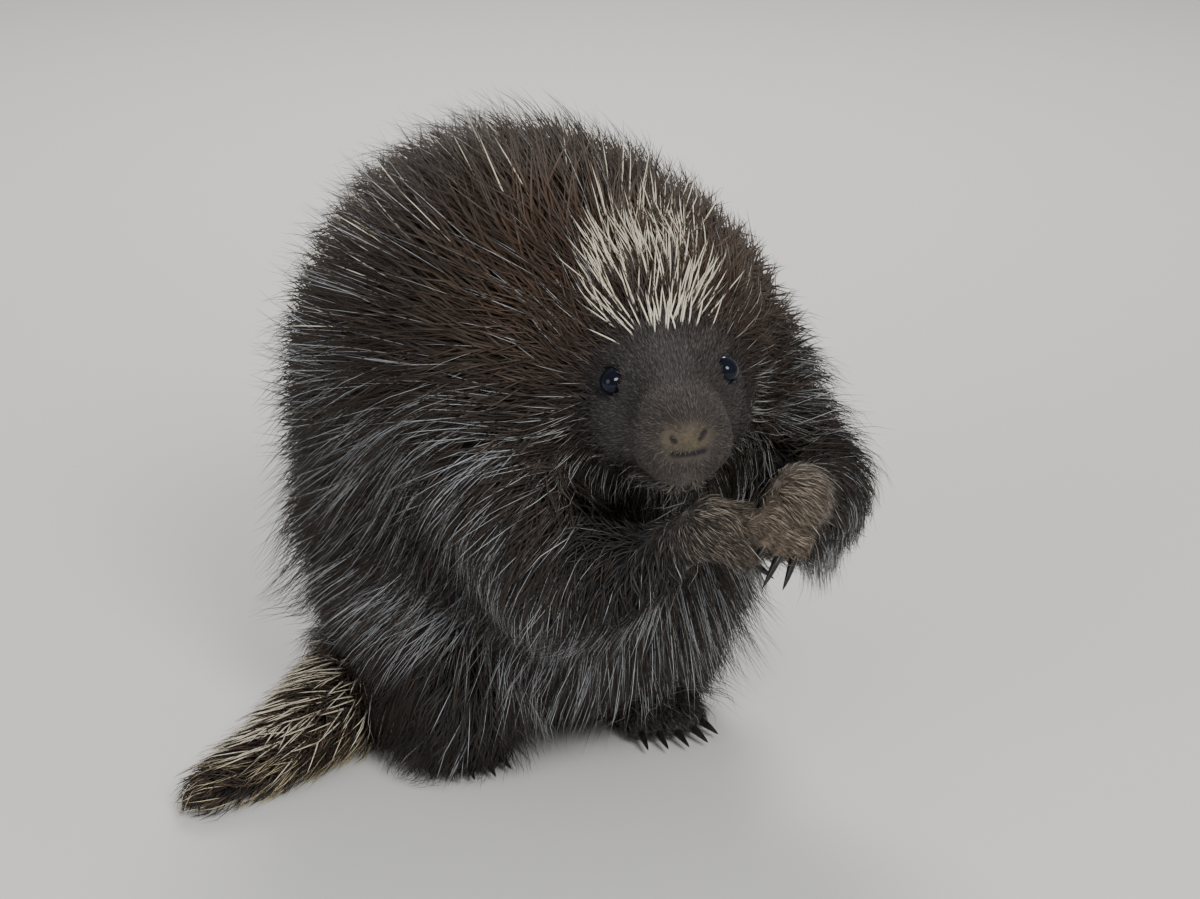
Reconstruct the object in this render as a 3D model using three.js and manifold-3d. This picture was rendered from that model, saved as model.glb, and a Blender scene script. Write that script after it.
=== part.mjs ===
// A North American porcupine, life size, sitting hunched on its haunches with its forepaws held
// together under the chin and its tail laid out on its right side.
// Millimetres, +Z up. The trunk faces -Y and the animal's own left side is +X.
import * as THREE from "three";
import { MeshSurfaceSampler } from "three/addons/math/MeshSurfaceSampler.js";
import { mergeGeometries, mergeVertices } from "three/addons/utils/BufferGeometryUtils.js";
import Module from "manifold-3d";

const wasm = await Module();
wasm.setup();

// Driving dimensions
const GAP = 0.3; // clear space kept between neighbouring pieces
const EYE_SPACING = 51; // between the centres of the two eyeballs
const EYE_RADIUS = 7;
const CLAW_LENGTH = 17;
const CLAW_RADIUS = 2.4;
const QUILL_RADIUS = 1.3;
const CORE_SHARE = 0.42; // how far the solid core reaches from the skin to the tips of the coat
const FLOOR_CLEARANCE = 4; // lowest that the middle of a lock hangs

// Depth of the coat over the flesh where it is longest, from the skin to the tips
const COAT = { head: 10, neck: 42, back: 47, belly: 24, arm: 26, leg: 26, tail: 16 };

const vec = (x, y, z) => new THREE.Vector3(x, y, z);
const { lerp, clamp, smoothstep, degToRad } = THREE.MathUtils;
const UP = vec(0, 0, 1);

// A repeatable stream of random numbers between 0 and 1.
function randomStream(seed) {
  let state = seed;
  return () => {
    state = (state + 0x6d2b79f5) | 0;
    let t = Math.imul(state ^ (state >>> 15), 1 | state);
    t = (t + Math.imul(t ^ (t >>> 7), 61 | t)) ^ t;
    return ((t ^ (t >>> 14)) >>> 0) / 4294967296;
  };
}

// The head's own frame: x to its left, y backwards and z up, centred between the eyes
const HEAD_PLACE = vec(2.6, -82.3, 233);
const HEAD_TURN = -22; // degrees, towards the animal's right
const HEAD_NOD = 2; // degrees down
const HEAD_ROLL = -3.5; // degrees, the left eye higher
const headFrame = new THREE.Matrix4().compose(
  HEAD_PLACE,
  new THREE.Quaternion().setFromEuler(
    new THREE.Euler(degToRad(HEAD_NOD), degToRad(HEAD_ROLL), degToRad(HEAD_TURN), "ZYX"),
  ),
  vec(1, 1, 1),
);
const inHead = (x, y, z) => vec(x, y, z).applyMatrix4(headFrame);

// Solids

// A geometry with nothing but its points and faces, each shared point kept once.
function welded(geometry, tolerance = 1e-4) {
  const bare = geometry.index ? geometry.toNonIndexed() : geometry.clone();
  for (const name of Object.keys(bare.attributes)) {
    if (name !== "position") bare.deleteAttribute(name);
  }
  return mergeVertices(bare, tolerance);
}

function solid(geometry, tolerance) {
  const merged = welded(geometry, tolerance);
  return new wasm.Manifold(
    new wasm.Mesh({
      numProp: 3,
      vertProperties: merged.attributes.position.array,
      triVerts: new Uint32Array(merged.index.array),
    }),
  );
}

function geometryOf(body) {
  const mesh = body.getMesh();
  const geometry = new THREE.BufferGeometry();
  geometry.setAttribute("position", new THREE.BufferAttribute(mesh.vertProperties, 3));
  geometry.setIndex(new THREE.BufferAttribute(mesh.triVerts, 1));
  geometry.computeVertexNormals();
  return geometry;
}

const join = (bodies) => wasm.Manifold.union(bodies);
const largest = (body) =>
  body.decompose().reduce((best, one) => (one.volume() > best.volume() ? one : best));

// A body moved to its place, with points closer than the fine distance made one, and without
// anything that parts from it by that.
const FINE = 1e-3;
function settled(body, move) {
  let geometry = geometryOf(body).translate(move.x, move.y, move.z);
  for (let pass = 0; pass < 2; pass++) geometry = geometryOf(largest(solid(geometry, FINE)));
  return geometry;
}

// A closed geometry with every face moved out by at least the gap.
function swollen(geometry) {
  const merged = welded(geometry);
  const position = merged.attributes.position;
  const faces = Array.from({ length: position.count }, () => []);
  const index = merged.index.array;
  const corner = (i) => new THREE.Vector3().fromBufferAttribute(position, index[i]);
  for (let i = 0; i < index.length; i += 3) {
    const plane = new THREE.Triangle(corner(i), corner(i + 1), corner(i + 2));
    if (plane.getArea() < 1e-9) continue;
    const normal = plane.getNormal(vec(0, 0, 0));
    for (let k = 0; k < 3; k++) faces[index[i + k]].push(normal);
  }
  faces.forEach((normals, i) => {
    const out = normals.reduce((sum, n) => sum.add(n), vec(0, 0, 0)).normalize();
    const least = Math.max(0.3, Math.min(...normals.map((n) => n.dot(out))));
    const p = new THREE.Vector3().fromBufferAttribute(position, i);
    p.addScaledVector(out, GAP / least);
    position.setXYZ(i, p.x, p.y, p.z);
  });
  return merged;
}

// Flesh as a smooth union of egg-shaped masses

// Distance to one egg-shaped mass, roughly, negative inside.
function eggDistance(point, egg) {
  const p = point.clone().sub(egg.at);
  const k0 = p.clone().divide(egg.radii).length();
  const k1 = p.clone().divide(egg.radii).divide(egg.radii).length();
  return k1 < 1e-9 ? -Math.min(egg.radii.x, egg.radii.y, egg.radii.z) : (k0 * (k0 - 1)) / k1;
}

function blend(a, b, reach) {
  const h = clamp(0.5 + (0.5 * (b - a)) / reach, 0, 1);
  return lerp(b, a, h) - reach * h * (1 - h);
}

// The distance field of masses given as [centre, radii] in a frame.
function fleshField(reach, eggs, frame = new THREE.Matrix4()) {
  const toLocal = frame.clone().invert();
  const masses = eggs.map(([at, radii]) => ({ at: vec(...at), radii: vec(...radii) }));
  return (point) => {
    const p = point.clone().applyMatrix4(toLocal);
    return masses.map((mass) => eggDistance(p, mass)).reduce((a, b) => blend(a, b, reach));
  };
}

// The distance field of a limb given as stations of [point, half width, half height].
function limbField(stations) {
  return (p) =>
    Math.min(
      ...stations.slice(1).map(([b, bWidth, bHeight], i) => {
        const [a, aWidth, aHeight] = stations[i];
        const along = b.clone().sub(a);
        const t = clamp(p.clone().sub(a).dot(along) / along.lengthSq(), 0, 1);
        return p.distanceTo(a.clone().lerp(b, t)) - lerp(aWidth + aHeight, bWidth + bHeight, t) / 2;
      }),
    );
}

const RAY_STEP = 3;
const RAY_END = 330;

// The point where a ray from the centre leaves the surface field = rise.
function surfacePoint(field, centre, direction, rise) {
  const at = (r) => centre.clone().addScaledVector(direction, r);
  const outside = (r) => field(at(r)) > rise(at(r));
  let far = RAY_STEP;
  while (far < RAY_END && !outside(far)) far += RAY_STEP;
  let near = far - RAY_STEP;
  for (let i = 0; i < 16; i++) {
    const mid = (near + far) / 2;
    if (outside(mid)) far = mid;
    else near = mid;
  }
  return at(far);
}

function bareBall(detail) {
  const ball = new THREE.IcosahedronGeometry(1, detail);
  ball.deleteAttribute("normal");
  ball.deleteAttribute("uv");
  return ball;
}

// A ball pushed out along its rays to the surface field = rise.
function sculpt(field, centre, detail, rise) {
  const ball = mergeVertices(bareBall(detail), 1e-4);
  const position = ball.attributes.position;
  for (let i = 0; i < position.count; i++) {
    const direction = new THREE.Vector3().fromBufferAttribute(position, i).normalize();
    const p = surfacePoint(field, centre, direction, rise);
    position.setXYZ(i, p.x, p.y, p.z);
  }
  ball.computeVertexNormals();
  return ball;
}

// An egg in the head's frame, such as an eyeball or the hollow of an ear.
function headEgg(at, radii, detail) {
  const ball = bareBall(detail);
  ball.applyMatrix4(new THREE.Matrix4().makeScale(...radii).setPosition(...at));
  return ball.applyMatrix4(headFrame);
}

// Limbs, toes, claws and the tail

// A ball drawn out along a curve through its stations.
function limb(stations, { sides = 12, rings = 10, blunt = 3, upwards = UP } = {}) {
  const curve = new THREE.CatmullRomCurve3(
    stations.map(([at]) => at.clone()),
    false,
    "centripetal",
  );
  const last = stations.length - 1;
  const size = (t, which) => {
    const i = Math.min(Math.floor(t * last), last - 1);
    return lerp(stations[i][which], stations[i + 1][which], t * last - i);
  };
  const ball = new THREE.SphereGeometry(1, sides, rings);
  const position = ball.attributes.position;
  for (let i = 0; i < position.count; i++) {
    const unit = new THREE.Vector3().fromBufferAttribute(position, i);
    const t = clamp((1 - unit.y) / 2, 0, 1);
    const round = Math.hypot(unit.x, unit.z);
    const girth = Math.pow(Math.max(0, 1 - Math.pow(Math.abs(2 * t - 1), blunt)), 1 / blunt);
    const tangent = curve.getTangent(t);
    const side = tangent.clone().cross(upwards).normalize();
    const up = side.clone().cross(tangent).normalize();
    const p = curve.getPoint(t);
    if (round > 1e-6) {
      p.addScaledVector(side, (unit.x / round) * girth * size(t, 1));
      p.addScaledVector(up, (-unit.z / round) * girth * size(t, 2));
    }
    position.setXYZ(i, p.x, p.y, p.z);
  }
  return ball;
}

// Stations with a share of the coat added, which thins out towards the tip.
const coated = (stations, depth, last = 1) =>
  stations.map(([at, width, height], i) => {
    const more = depth * lerp(1, last, smoothstep(i / (stations.length - 1), 0.3, 1));
    return [at, width + more, height + more];
  });

// The flesh of each part of the body

const TORSO_CENTRE = vec(6, 45, 150);
const NECK_CENTRE = vec(19, -30, 220);
const HEAD_CENTRE = inHead(0, 6, -8);
const torsoField = fleshField(40, [
  [[6, 86, 78], [76, 68, 80]],
  [[0, 64, 184], [82, 92, 104]],
  [[20, 0, 198], [76, 60, 78]],
  [[12, 14, 112], [56, 48, 72]],
]);
const neckField = fleshField(20, [
  [[20, -34, 232], [50, 44, 44]],
  [[18, -26, 204], [54, 42, 46]],
]);
const headField = fleshField(
  12,
  [
    [[0, 24, 2], [33, 42, 29]],
    [[0, -2, -2], [29, 26, 23]],
    [[0, -28, -11], [20, 26, 18]],
    [[0, -41, -12], [17, 14, 14]],
    [[9, -42, -21], [11, 12, 9]],
    [[-9, -42, -21], [11, 12, 9]],
    [[19, 5, -20], [17, 27, 20]],
    [[-19, 5, -20], [17, 27, 20]],
    [[0, -24, -30], [14, 22, 10]],
    [[0, 18, -24], [24, 28, 18]],
  ],
  headFrame,
);

const thighField = (side, turn) =>
  fleshField(15, [
    [[side * 40 + turn, 100, 74], [37, 44, 48]],
    [[side * 52 + turn, 62, 58], [34, 42, 48]],
    [[side * 57 + turn, 32, 48], [25, 34, 38]],
  ]);

// Arms and the tail as stations of [point, half width, half height], from the body outwards
const ELBOW_RIGHT = vec(-38, -58, 132);
const ELBOW_LEFT = vec(98, -62, 150);
const LIMBS = {
  upper_arm_right: [
    [vec(-44, -8, 176), 32, 32],
    [ELBOW_RIGHT, 20, 20],
  ],
  upper_arm_left: [
    [vec(72, -16, 188), 32, 32],
    [ELBOW_LEFT, 19, 19],
  ],
  forearm_right: [
    [ELBOW_RIGHT, 23, 23],
    [vec(-14, -90, 142), 18, 18],
    [vec(9, -107, 163), 11, 11],
  ],
  forearm_left: [
    [ELBOW_LEFT, 22, 22],
    [vec(82, -92, 158), 17, 17],
    [vec(60, -112, 173), 11, 11],
  ],
  tail: [
    [vec(-10, 138, 34), 34, 33],
    [vec(-64, 104, 27), 28, 27],
    [vec(-112, 70, 20), 22, 20],
    [vec(-156, 50, 12), 14, 12],
    [vec(-190, 40, 6), 6, 6],
  ],
};

// How deep the coat is at a point: nothing on the face, and most on the back
const FACE = inHead(0, -20, -8);
const offFace = (p) => smoothstep(p.distanceTo(FACE), 40, 125);
const trunkCoat = (p) => lerp(COAT.belly, COAT.back, smoothstep(p.z, 10, 150)) * offFace(p);
const neckCoat = (p) => COAT.neck * offFace(p);
const headCoat = (p) => lerp(4, COAT.head, offFace(p));

const armCoat = () => COAT.arm;
const legCoat = () => COAT.leg;
const cuffed = (wrist) => (p) => COAT.arm * smoothstep(p.distanceTo(wrist), 5, 60);

const flesh = {
  head: { field: headField, coat: headCoat },
  neck: { field: neckField, coat: neckCoat },
  torso: { field: torsoField, coat: trunkCoat },
  forearm_right: { field: limbField(LIMBS.forearm_right), coat: cuffed(vec(9, -107, 163)) },
  forearm_left: { field: limbField(LIMBS.forearm_left), coat: cuffed(vec(60, -112, 173)) },
  upper_arm_right: { field: limbField(LIMBS.upper_arm_right), coat: armCoat },
  upper_arm_left: { field: limbField(LIMBS.upper_arm_left), coat: armCoat },
  hindleg_right: { field: thighField(-1, 1), coat: legCoat },
  hindleg_left: { field: thighField(1, 5), coat: legCoat },
  tail: { field: limbField(LIMBS.tail), coat: () => COAT.tail },
};
const bodyField = (p) => Math.min(...Object.values(flesh).map(({ field }) => field(p)));

function outwards(p) {
  const slope = (axis) => bodyField(p.clone().add(axis)) - bodyField(p.clone().sub(axis));
  return vec(slope(vec(1, 0, 0)), slope(vec(0, 1, 0)), slope(UP)).normalize();
}

// The coat

// The lie of the coat: away from the muzzle, and more and more downwards low on the body.
const MUZZLE = inHead(0, -30, -12);
function lieAt(p) {
  const lie = p.clone().sub(MUZZLE).normalize();
  lie.z -= lerp(0.05, 1.2, smoothstep(290 - p.z, 0, 260));
  return lie;
}

// The lie of the tail's hair: towards the tip, and out to the sides.
const TAIL_TIP = LIMBS.tail.at(-1)[0];
const tailLie = (p) => TAIL_TIP.clone().addScaledVector(vec(-1, -0.2, 0), 60).sub(p).normalize();

// Points from a root on the core out to the tip, which follow the lie and rise from the body.
const PATH_STEPS = 3;
function hairPath(root, { lie, rise, tip, length }) {
  const stride = length / PATH_STEPS;
  const start = root.clone().addScaledVector(outwards(root), rise - bodyField(root));
  const points = [start];
  for (let i = 1; i <= PATH_STEPS; i++) {
    const p = points.at(-1).clone();
    p.addScaledVector(lie(p).projectOnPlane(outwards(p)).normalize(), stride);
    const climb = lerp(rise, tip, i / PATH_STEPS) - bodyField(p);
    p.addScaledVector(outwards(p), clamp(climb, -0.5 * stride, 0.5 * stride));
    p.z = Math.max(p.z, FLOOR_CLEARANCE);
    points.push(p);
  }
  return points;
}

// Whether a path has no sharp bend, where a wide lock would fold over itself.
function isEven(path) {
  const ways = path.slice(1).map((p, i) => p.clone().sub(path[i]).normalize());
  return ways.slice(1).every((way, i) => way.dot(ways[i]) > 0.72);
}

// The directions along, across and out of a path at each of its points, which turn gradually.
function framesAlong(path, roll) {
  const out = outwards(path[0]);
  return path.map((p, step) => {
    const before = path[Math.max(step - 1, 0)];
    const after = path[Math.min(step + 1, PATH_STEPS)];
    const along = after.clone().sub(before).normalize();
    out.lerp(outwards(p), 0.4).projectOnPlane(along).normalize();
    const up = out.clone().applyAxisAngle(along, roll);
    return { along, up, side: along.clone().cross(up) };
  });
}

const LOCK_WIDTHS = [0.6, 1, 0.8, 0];
const QUILL_WIDTHS = [1, 1, 0.8, 0];

// A taper along a path, flat with four sides for a lock and round with three for a quill. It
// carries a wider copy of itself that leaves the gap free all round.
function taper(path, sides, width, thickness, widths, roll) {
  const frames = framesAlong(path, roll);
  const shape = (source, spare) => {
    const more = (spare * Math.hypot(width, thickness)) / (Math.SQRT2 * Math.cos(Math.PI / sides));
    const position = source.attributes.position;
    for (let i = 0; i < position.count; i++) {
      const corner = new THREE.Vector3().fromBufferAttribute(position, i);
      const step = Math.round((corner.y + 0.5) * PATH_STEPS);
      const round = Math.hypot(corner.x, corner.z);
      const { along, side, up } = frames[step];
      const end = step === 0 ? -1 : step === PATH_STEPS ? 1 : 0;
      const p = path[step].clone().addScaledVector(along, end * spare * 2);
      if (round > 1e-6) {
        p.addScaledVector(side, (corner.x / round) * (width * widths[step] + more / thickness));
        p.addScaledVector(up, (corner.z / round) * (thickness * widths[step] + more / width));
      }
      position.setXYZ(i, p.x, p.y, p.z);
    }
    return source;
  };
  const piece = shape(new THREE.ConeGeometry(1, 1, sides, PATH_STEPS), 0);
  const around = new THREE.CylinderGeometry(1, 1, 1, sides, PATH_STEPS);
  piece.userData.cleared = shape(around, GAP * 1.3);
  return piece;
}

// Roots spread evenly over a part's core where it shows, at least a spacing apart.
function roots(name, cores, { spacing, where = () => true, tries = 4000 }, random) {
  const surface = mergeGeometries(cores.map((core) => core.toNonIndexed()));
  surface.computeVertexNormals();
  const sampler = new MeshSurfaceSampler(new THREE.Mesh(surface));
  sampler.setRandomGenerator(random).build();
  const others = Object.entries(flesh).filter(([other]) => other !== name);
  const found = [];
  for (let i = 0; i < tries; i++) {
    const p = vec(0, 0, 0);
    sampler.sample(p);
    const hidden =
      flesh[name].field(p) < flesh[name].coat(p) * CORE_SHARE - 4 ||
      others.some(([, { field, coat }]) => field(p) < coat(p) * CORE_SHARE + 1);
    if (hidden || p.z < 8 || !where(p)) continue;
    if (found.every((q) => q.distanceTo(p) > spacing)) found.push(p);
  }
  return found;
}

// Locks over a part: each starts below the core's surface and ends at the tips of the coat.
const LOCK_SINK = 6;
function locks(name, cores, spec, seed) {
  const random = randomStream(seed);
  const lie = spec.lie ?? lieAt;
  return roots(name, cores, spec, random).flatMap((root) => {
    const vary = lerp(0.85, 1.12, random());
    const depth = flesh[name].coat(root);
    const tip = Math.max(depth, spec.least ?? 0) * lerp(0.88, 1.04, random());
    const rise = depth * CORE_SHARE - LOCK_SINK;
    const path = hairPath(root, { lie, rise, tip, length: spec.length * vary });
    const roll = lerp(-0.2, 0.2, random());
    return isEven(path) ? [taper(path, 4, spec.width * vary, spec.thickness, LOCK_WIDTHS, roll)] : [];
  });
}

function quills(name, cores, spec, seed) {
  const random = randomStream(seed);
  return roots(name, cores, spec, random).map((root) => {
    const rise = flesh[name].coat(root) * CORE_SHARE - LOCK_SINK;
    const tip = rise + spec.lift * lerp(0.8, 1.2, random());
    const length = spec.length * lerp(0.8, 1.15, random());
    const path = hairPath(root, { lie: spec.lie ?? lieAt, rise, tip, length });
    return taper(path, 3, QUILL_RADIUS, QUILL_RADIUS, QUILL_WIDTHS, 0);
  });
}

// Paws

const TOE_REACH = [0.8, 1.04, 1, 0.86, 0.7]; // how far each toe reaches, from the inner one

// A paw held up or a foot on the ground: a palm, toes and one claw for each toe.
function foot({ wrist, palm, up, toes, across, toeRadius, size, curl }) {
  const pieces = [limb([[wrist, ...size], [palm, ...size]], { sides: 10, rings: 6, upwards: up })];
  const ahead = palm.clone().sub(wrist).normalize();
  const side = ahead.clone().cross(up).normalize();
  const step = (from, spread, length, drop) =>
    from.clone().addScaledVector(spread, length).addScaledVector(up, -drop);
  for (let i = 0; i < toes; i++) {
    const share = i / (toes - 1) - 0.5;
    const reach = TOE_REACH[i];
    const root = step(palm, ahead, -size[0] * 0.9, 0).addScaledVector(side, share * across * 0.8);
    const spread = ahead.clone().addScaledVector(side, share * 0.5).normalize();
    const knuckle = step(root, spread, size[0] * (0.9 + 0.6 * reach), 0);
    const tip = step(knuckle, spread, toeRadius * 2 * reach, curl * 0.5);
    const toe = [
      [root, toeRadius, toeRadius],
      [knuckle, toeRadius, toeRadius],
      [tip, toeRadius * 0.8, toeRadius * 0.8],
    ];
    const claw = [
      [step(tip, spread, -3, 0), CLAW_RADIUS, CLAW_RADIUS],
      [step(tip, spread, CLAW_LENGTH * 0.5, 0), CLAW_RADIUS * 0.8, CLAW_RADIUS * 0.9],
      [step(tip, spread, CLAW_LENGTH, curl), 0.4, 0.4],
    ];
    pieces.push(limb(toe, { sides: 6, rings: 5, upwards: up }));
    pieces.push(limb(claw, { sides: 4, rings: 5, blunt: 2, upwards: up }));
  }
  return pieces;
}

const FOREPAW = { toes: 4, across: 13, toeRadius: 3.5, size: [14, 11], curl: 5 };
const HINDFOOT = { toes: 5, across: 24, toeRadius: 4.6, size: [17, 11], curl: 3, up: UP };
const PAWS = {
  forepaw_right: {
    wrist: vec(8, -108, 164),
    palm: vec(18, -112, 161),
    up: vec(-0.1, -0.75, 0.65).normalize(),
    ...FOREPAW,
  },
  forepaw_left: {
    wrist: vec(57, -115, 173),
    palm: vec(47, -121, 164),
    up: vec(0.1, -0.8, 0.6).normalize(),
    ...FOREPAW,
  },
  hindfoot_right: { wrist: vec(-46, 74, 11), palm: vec(-55, 30, 10), ...HINDFOOT },
  hindfoot_left: { wrist: vec(52, 54, 11), palm: vec(52, 8, 10), ...HINDFOOT },
};

// The head's features

const EYE_PLACE = [EYE_SPACING / 2, -9.5, 2.5];
const mirrored = (side, [x, y, z]) => [side * x, y, z];
const eyeBall = (side) => headEgg(mirrored(side, EYE_PLACE), Array(3).fill(EYE_RADIUS), 2);

// A ring of lid round the eye, facing outwards and ahead.
function lids(side) {
  const facing = vec(side, -0.95, 0.12).normalize();
  const ring = new THREE.TorusGeometry(EYE_RADIUS - 1, 1.4, 6, 14);
  ring.applyQuaternion(new THREE.Quaternion().setFromUnitVectors(UP, facing));
  const at = vec(...mirrored(side, EYE_PLACE)).addScaledVector(facing, 4);
  ring.translate(at.x, at.y, at.z);
  return ring.applyMatrix4(headFrame);
}

// A point on the face, seen from a centre inside it along a direction of the head's frame.
const HEAD_RISE = 2;
function facePoint(centre, direction) {
  const along = vec(...direction).transformDirection(headFrame);
  return surfacePoint(headField, inHead(...centre), along, () => HEAD_RISE);
}

// The line of the mouth, a groove across the lips that turns up a little at its ends.
function mouthLine() {
  const stations = [-30, -15, 0, 15, 30].map((degrees) => {
    const angle = degToRad(degrees);
    const lift = 0.1 * (1 - Math.cos(2 * angle));
    const at = facePoint([0, -36, -17.5], [Math.sin(angle), -Math.cos(angle), lift]);
    return [at, 1.3, 1.1];
  });
  return limb(stations, { sides: 6, rings: 10, blunt: 4 });
}

function nostril(side) {
  const at = facePoint([0, -40, -9], [side * 0.34, -1, -0.02]);
  const ends = [at.clone().add(vec(side * 2.2, 0, 1.6)), at.clone().add(vec(-side * 1.2, 0, -1.6))];
  return limb(
    ends.map((end) => [end, 1.5, 1.5]),
    { sides: 6, rings: 5, upwards: vec(0, -1, 0) },
  );
}

// An ear: a rounded leaf hollowed to a cup that opens outwards and ahead.
const EAR = { at: [33, 37, 15], radii: [6, 10, 14], hollowAt: [37, 33, 17], hollow: [5, 7, 10] };
const earLeaf = (side) => headEgg(mirrored(side, EAR.at), EAR.radii, 1);
const earHollow = (side) => headEgg(mirrored(side, EAR.hollowAt), EAR.hollow, 1);

// Cores and coats

// A part's solid core, from its flesh part of the way to the tips of the coat.
function core(name, centre, detail) {
  const { field, coat } = flesh[name];
  return sculpt(field, centre, detail, (p) => coat(p) * CORE_SHARE);
}

const cores = {
  head: [sculpt(headField, HEAD_CENTRE, 6, () => HEAD_RISE), lids(1), lids(-1)],
  neck: [core("neck", NECK_CENTRE, 3)],
  torso: [core("torso", TORSO_CENTRE, 4)],
  forearm_right: [core("forearm_right", vec(-16, -86, 141), 2)],
  forearm_left: [core("forearm_left", vec(84, -88, 157), 2)],
  upper_arm_right: [core("upper_arm_right", vec(-41, -33, 154), 2)],
  upper_arm_left: [core("upper_arm_left", vec(85, -39, 169), 2)],
  hindleg_right: [core("hindleg_right", vec(-49, 68, 60), 3)],
  hindleg_left: [core("hindleg_left", vec(55, 68, 60), 3)],
  tail: [limb(coated(LIMBS.tail, COAT.tail * CORE_SHARE, 0.6), { sides: 10, rings: 10 })],
};

const behindEyes = (p) => p.distanceTo(FACE) > 50;
const crown = (p) => behindEyes(p) && p.z > HEAD_PLACE.z + 6;
const HEAD_LOCKS = { spacing: 20, length: 40, width: 9, thickness: 2.5, least: 9, where: behindEyes };
const NECK_LOCKS = { spacing: 44, length: 76, width: 22, thickness: 4, least: 16 };
const TRUNK_LOCKS = { spacing: 52, length: 104, width: 29, thickness: 5, least: 16 };
const ARM_LOCKS = { spacing: 38, length: 52, width: 19, thickness: 4 };
const LEG_LOCKS = { spacing: 42, length: 54, width: 21, thickness: 4 };
const TAIL_LOCKS = { spacing: 32, length: 56, width: 15, thickness: 3, lie: tailLie };
const CROWN_QUILLS = { spacing: 9, length: 38, lift: 20, where: crown, tries: 900 };
const NAPE_QUILLS = { spacing: 14, length: 52, lift: 36, tries: 400, where: (p) => p.z > 235 };
const TAIL_QUILLS = { spacing: 14, length: 34, lift: 18, tries: 300, where: (p) => p.z > 24, lie: tailLie };

const coats = {
  head: [
    ...locks("head", cores.head.slice(0, 1), HEAD_LOCKS, 11),
    ...quills("head", cores.head.slice(0, 1), CROWN_QUILLS, 12),
  ],
  neck: [
    ...locks("neck", cores.neck, NECK_LOCKS, 21),
    ...quills("neck", cores.neck, NAPE_QUILLS, 22),
  ],
  torso: locks("torso", cores.torso, TRUNK_LOCKS, 31),
  forearm_right: locks("forearm_right", cores.forearm_right, ARM_LOCKS, 41),
  forearm_left: locks("forearm_left", cores.forearm_left, ARM_LOCKS, 42),
  upper_arm_right: locks("upper_arm_right", cores.upper_arm_right, ARM_LOCKS, 43),
  upper_arm_left: locks("upper_arm_left", cores.upper_arm_left, ARM_LOCKS, 44),
  hindleg_right: locks("hindleg_right", cores.hindleg_right, LEG_LOCKS, 51),
  hindleg_left: locks("hindleg_left", cores.hindleg_left, LEG_LOCKS, 52),
  tail: [
    ...locks("tail", cores.tail, TAIL_LOCKS, 61),
    ...quills("tail", cores.tail, TAIL_QUILLS, 62),
  ],
};
const furred = (name) => ({ adds: [...cores[name], ...coats[name]] });

// Each part in order of precedence: it is cut clear of all that come before it
const parts = {
  eye_left: { adds: [eyeBall(1)] },
  eye_right: { adds: [eyeBall(-1)] },
  ear_left: { adds: [earLeaf(1)], cuts: [earHollow(1)] },
  ear_right: { adds: [earLeaf(-1)], cuts: [earHollow(-1)] },
  head: { ...furred("head"), cuts: [mouthLine(), nostril(1), nostril(-1)] },
  forepaw_right: { adds: foot(PAWS.forepaw_right) },
  forepaw_left: { adds: foot(PAWS.forepaw_left) },
  hindfoot_right: { adds: foot(PAWS.hindfoot_right) },
  hindfoot_left: { adds: foot(PAWS.hindfoot_left) },
  forearm_right: furred("forearm_right"),
  forearm_left: furred("forearm_left"),
  upper_arm_right: furred("upper_arm_right"),
  upper_arm_left: furred("upper_arm_left"),
  neck: furred("neck"),
  hindleg_right: furred("hindleg_right"),
  hindleg_left: furred("hindleg_left"),
  tail: furred("tail"),
  torso: furred("torso"),
};

const COLOURS = { eye: 0x05060a, ear: 0x2c2420, head: 0x2a2624, forepaw: 0x4a3b2e, coat: 0x1f1a18 };
const ground = solid(new THREE.BoxGeometry(1000, 1000, 200).translate(0, 0, -100));
const extent = new THREE.Box3();
const taken = [ground];
const bodies = Object.entries(parts).map(([name, { adds, cuts = [] }]) => {
  const whole = join(adds.map((piece) => solid(piece)));
  const away = join([...taken, ...cuts.map((piece) => solid(piece))]);
  const body = largest(whole.subtract(away));
  taken.push(...adds.map((piece) => solid(piece.userData.cleared ?? swollen(piece))));
  const { min, max } = body.boundingBox();
  extent.union(new THREE.Box3(vec(...min), vec(...max)));
  return [name, body];
});

// The origin is the middle of the underside of the whole animal's box
const middle = extent.getCenter(vec(0, 0, 0)).setZ(0);
const group = new THREE.Group();
for (const [name, body] of bodies) {
  const kind = name.split("_")[0];
  const material = new THREE.MeshStandardMaterial({
    color: COLOURS[kind] ?? COLOURS.coat,
    roughness: kind === "eye" ? 0.1 : 0.9,
    metalness: 0,
  });
  const mesh = new THREE.Mesh(settled(body, middle.clone().negate()), material);
  mesh.name = name;
  group.add(mesh);
}

export default group;
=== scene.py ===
# %% [markdown]
# # A sitting porcupine
# The solids of the animal are loaded as a fixed frame. Everything made here is laid over them:
# one skin for the flesh, eyes and claws of their own, and then the coat, hair by hair. The
# frame comes first, because every piece has to ride on it.

# %% Load the frame
import math

import bmesh
import bpy
import numpy as np
from mathutils import Euler, Matrix, Vector


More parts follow.
